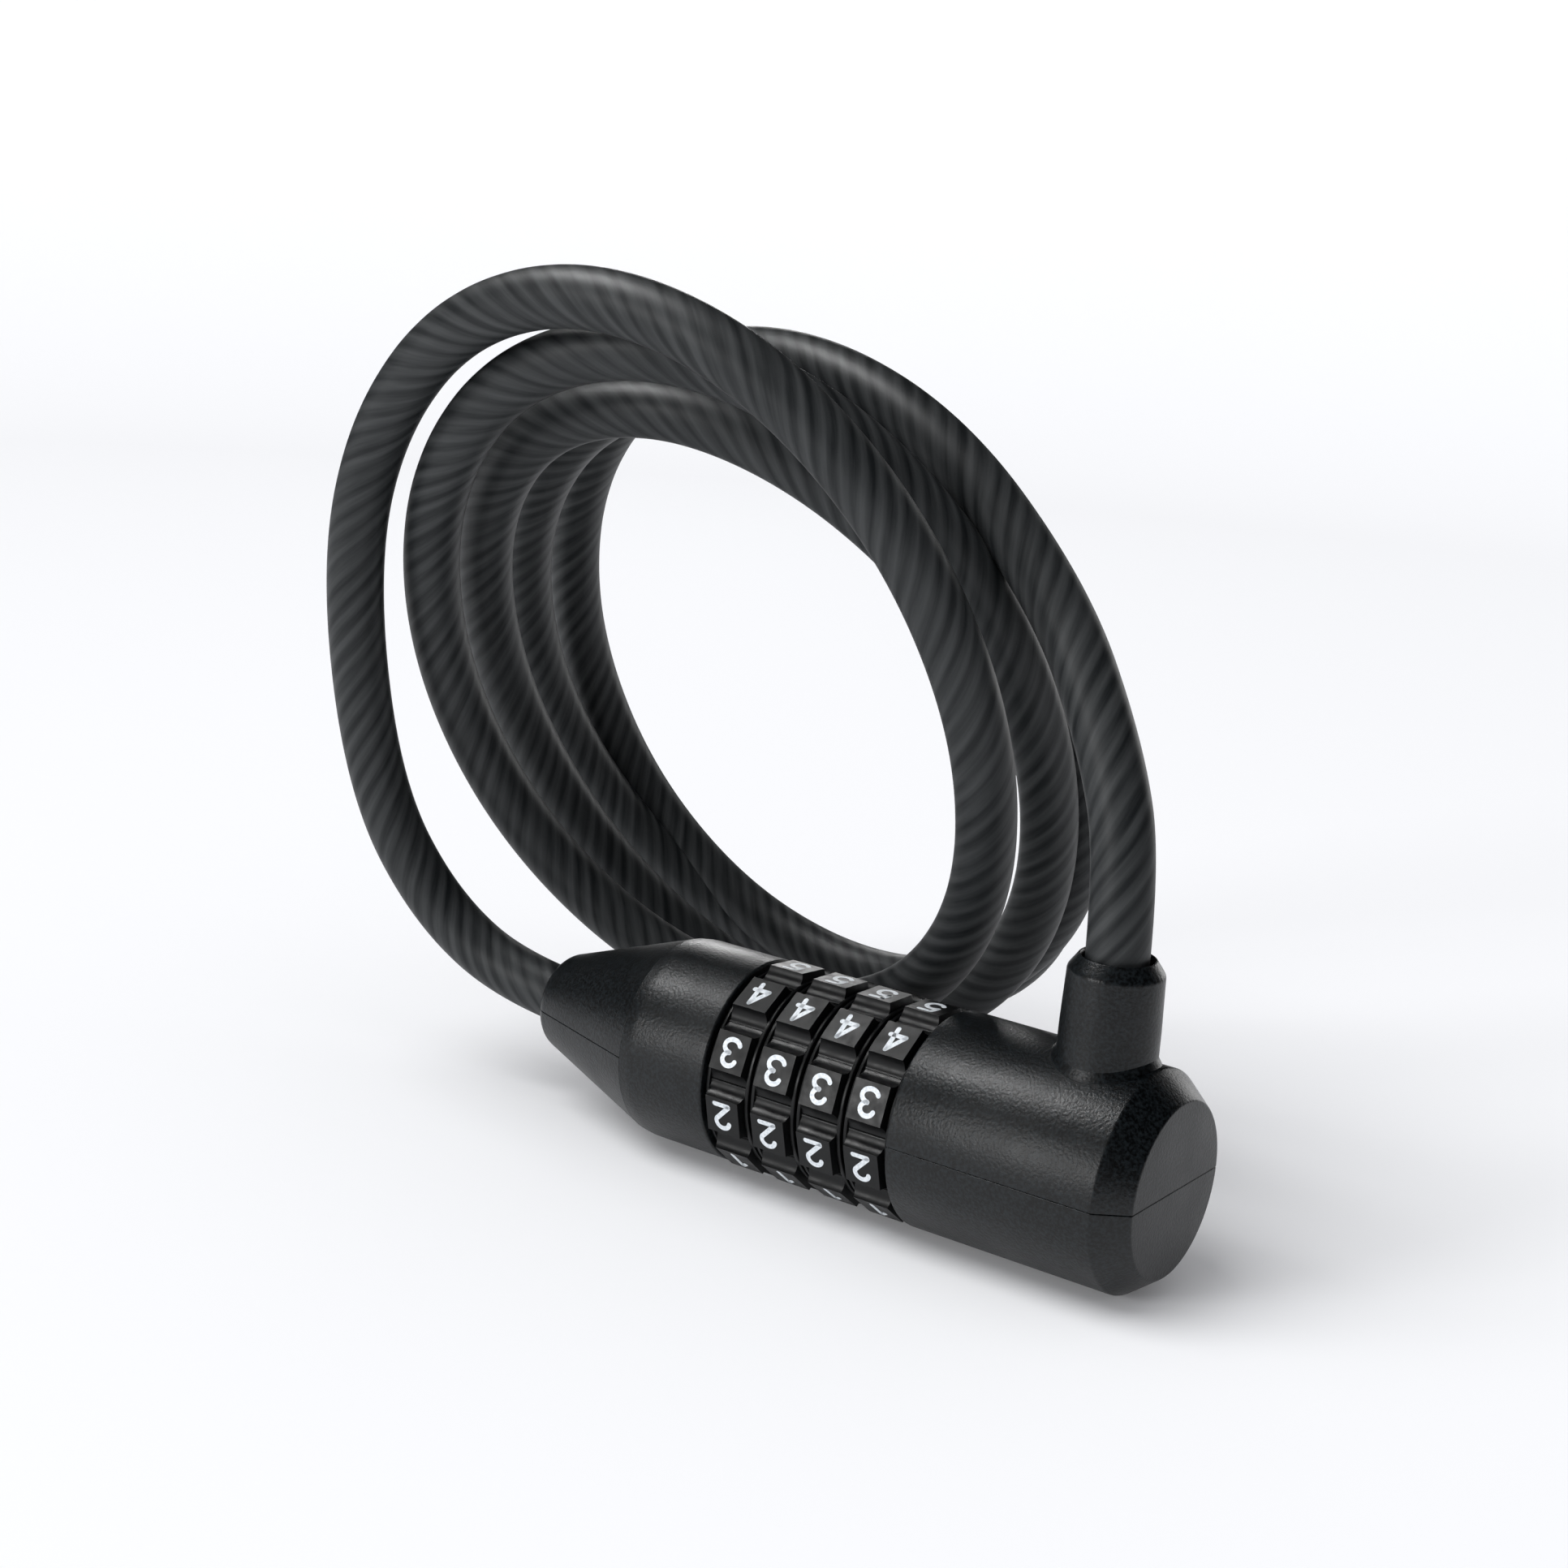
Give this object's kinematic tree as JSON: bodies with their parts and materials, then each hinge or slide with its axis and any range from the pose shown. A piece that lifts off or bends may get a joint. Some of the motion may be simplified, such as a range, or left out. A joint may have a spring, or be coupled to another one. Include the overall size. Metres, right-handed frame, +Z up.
{
  "type": "combination cable lock",
  "caption": "Cylindrical combination lock on its own coiled steel cable, one cable end fixed in a post, the other in a plug that pulls out of the barrel.",
  "frame": {"origin": "on the ground under the middle of the lock's barrel", "axes": "+X along the barrel to its closed end, +Z up along the cable post, +Y to the back where the coil stands"},
  "size_m": [0.1395, 0.1002, 0.1191],
  "materials": {
    "moulded_black": "matt moulded black with a fine spark grain",
    "dial_black": "satin-gloss moulded black",
    "dial_figures": "white paint in the number recesses",
    "cast_zinc": "die-cast zinc",
    "turned_steel": "turned and nickel-plated steel",
    "wire_rope": "stranded galvanised steel",
    "cable_sleeve": "smoky translucent PVC sleeve over the strands, satin"
  },
  "bodies": {
    "lock_body": {"shell_upper": "moulded_black", "shell_lower": "moulded_black", "body_core": "cast_zinc", "spindle_tube": "turned_steel", "retaining_ring": "turned_steel", "detent_spring": "turned_steel", "post_ferrule": "turned_steel", "post_cross_pin": "turned_steel", "post_steel_core": "wire_rope", "cable_first_turn": "cable_sleeve", "cable_coil": "cable_sleeve", "cable_post_lead": "cable_sleeve"},
    "plug": {"plug_pin": "turned_steel", "plug_core": "cast_zinc", "collar": "moulded_black", "cone_upper": "moulded_black", "cone_lower": "moulded_black", "plug_ferrule": "turned_steel", "plug_cross_pin": "turned_steel", "plug_steel_core": "wire_rope", "cable_plug_lead": "cable_sleeve"},
    "number_dial_1": {"dial_1": "dial_black", "gate_ring_1": "cast_zinc"},
    "number_dial_2": {"dial_2": "dial_black", "gate_ring_2": "cast_zinc"},
    "number_dial_3": {"dial_3": "dial_black", "gate_ring_3": "cast_zinc"},
    "number_dial_4": {"dial_4": "dial_black", "gate_ring_4": "cast_zinc"}
  },
  "joints": [
    {"name": "plug_slide", "type": "slide", "parent": "lock_body", "child": "plug", "axis": [-1, 0, 0], "range_m": [0, 0.036]},
    {"name": "dial_1_turn", "type": "hinge", "parent": "lock_body", "child": "number_dial_1", "pos_m": [-0.01021, 0, 0.0145], "axis": [1, 0, 0], "continuous": true},
    {"name": "dial_2_turn", "type": "hinge", "parent": "lock_body", "child": "number_dial_2", "pos_m": [-0.00287, 0, 0.0145], "axis": [1, 0, 0], "continuous": true},
    {"name": "dial_3_turn", "type": "hinge", "parent": "lock_body", "child": "number_dial_3", "pos_m": [0.00445, 0, 0.0145], "axis": [1, 0, 0], "continuous": true},
    {"name": "dial_4_turn", "type": "hinge", "parent": "lock_body", "child": "number_dial_4", "pos_m": [0.01179, 0, 0.0145], "axis": [1, 0, 0], "continuous": true}
  ]
}
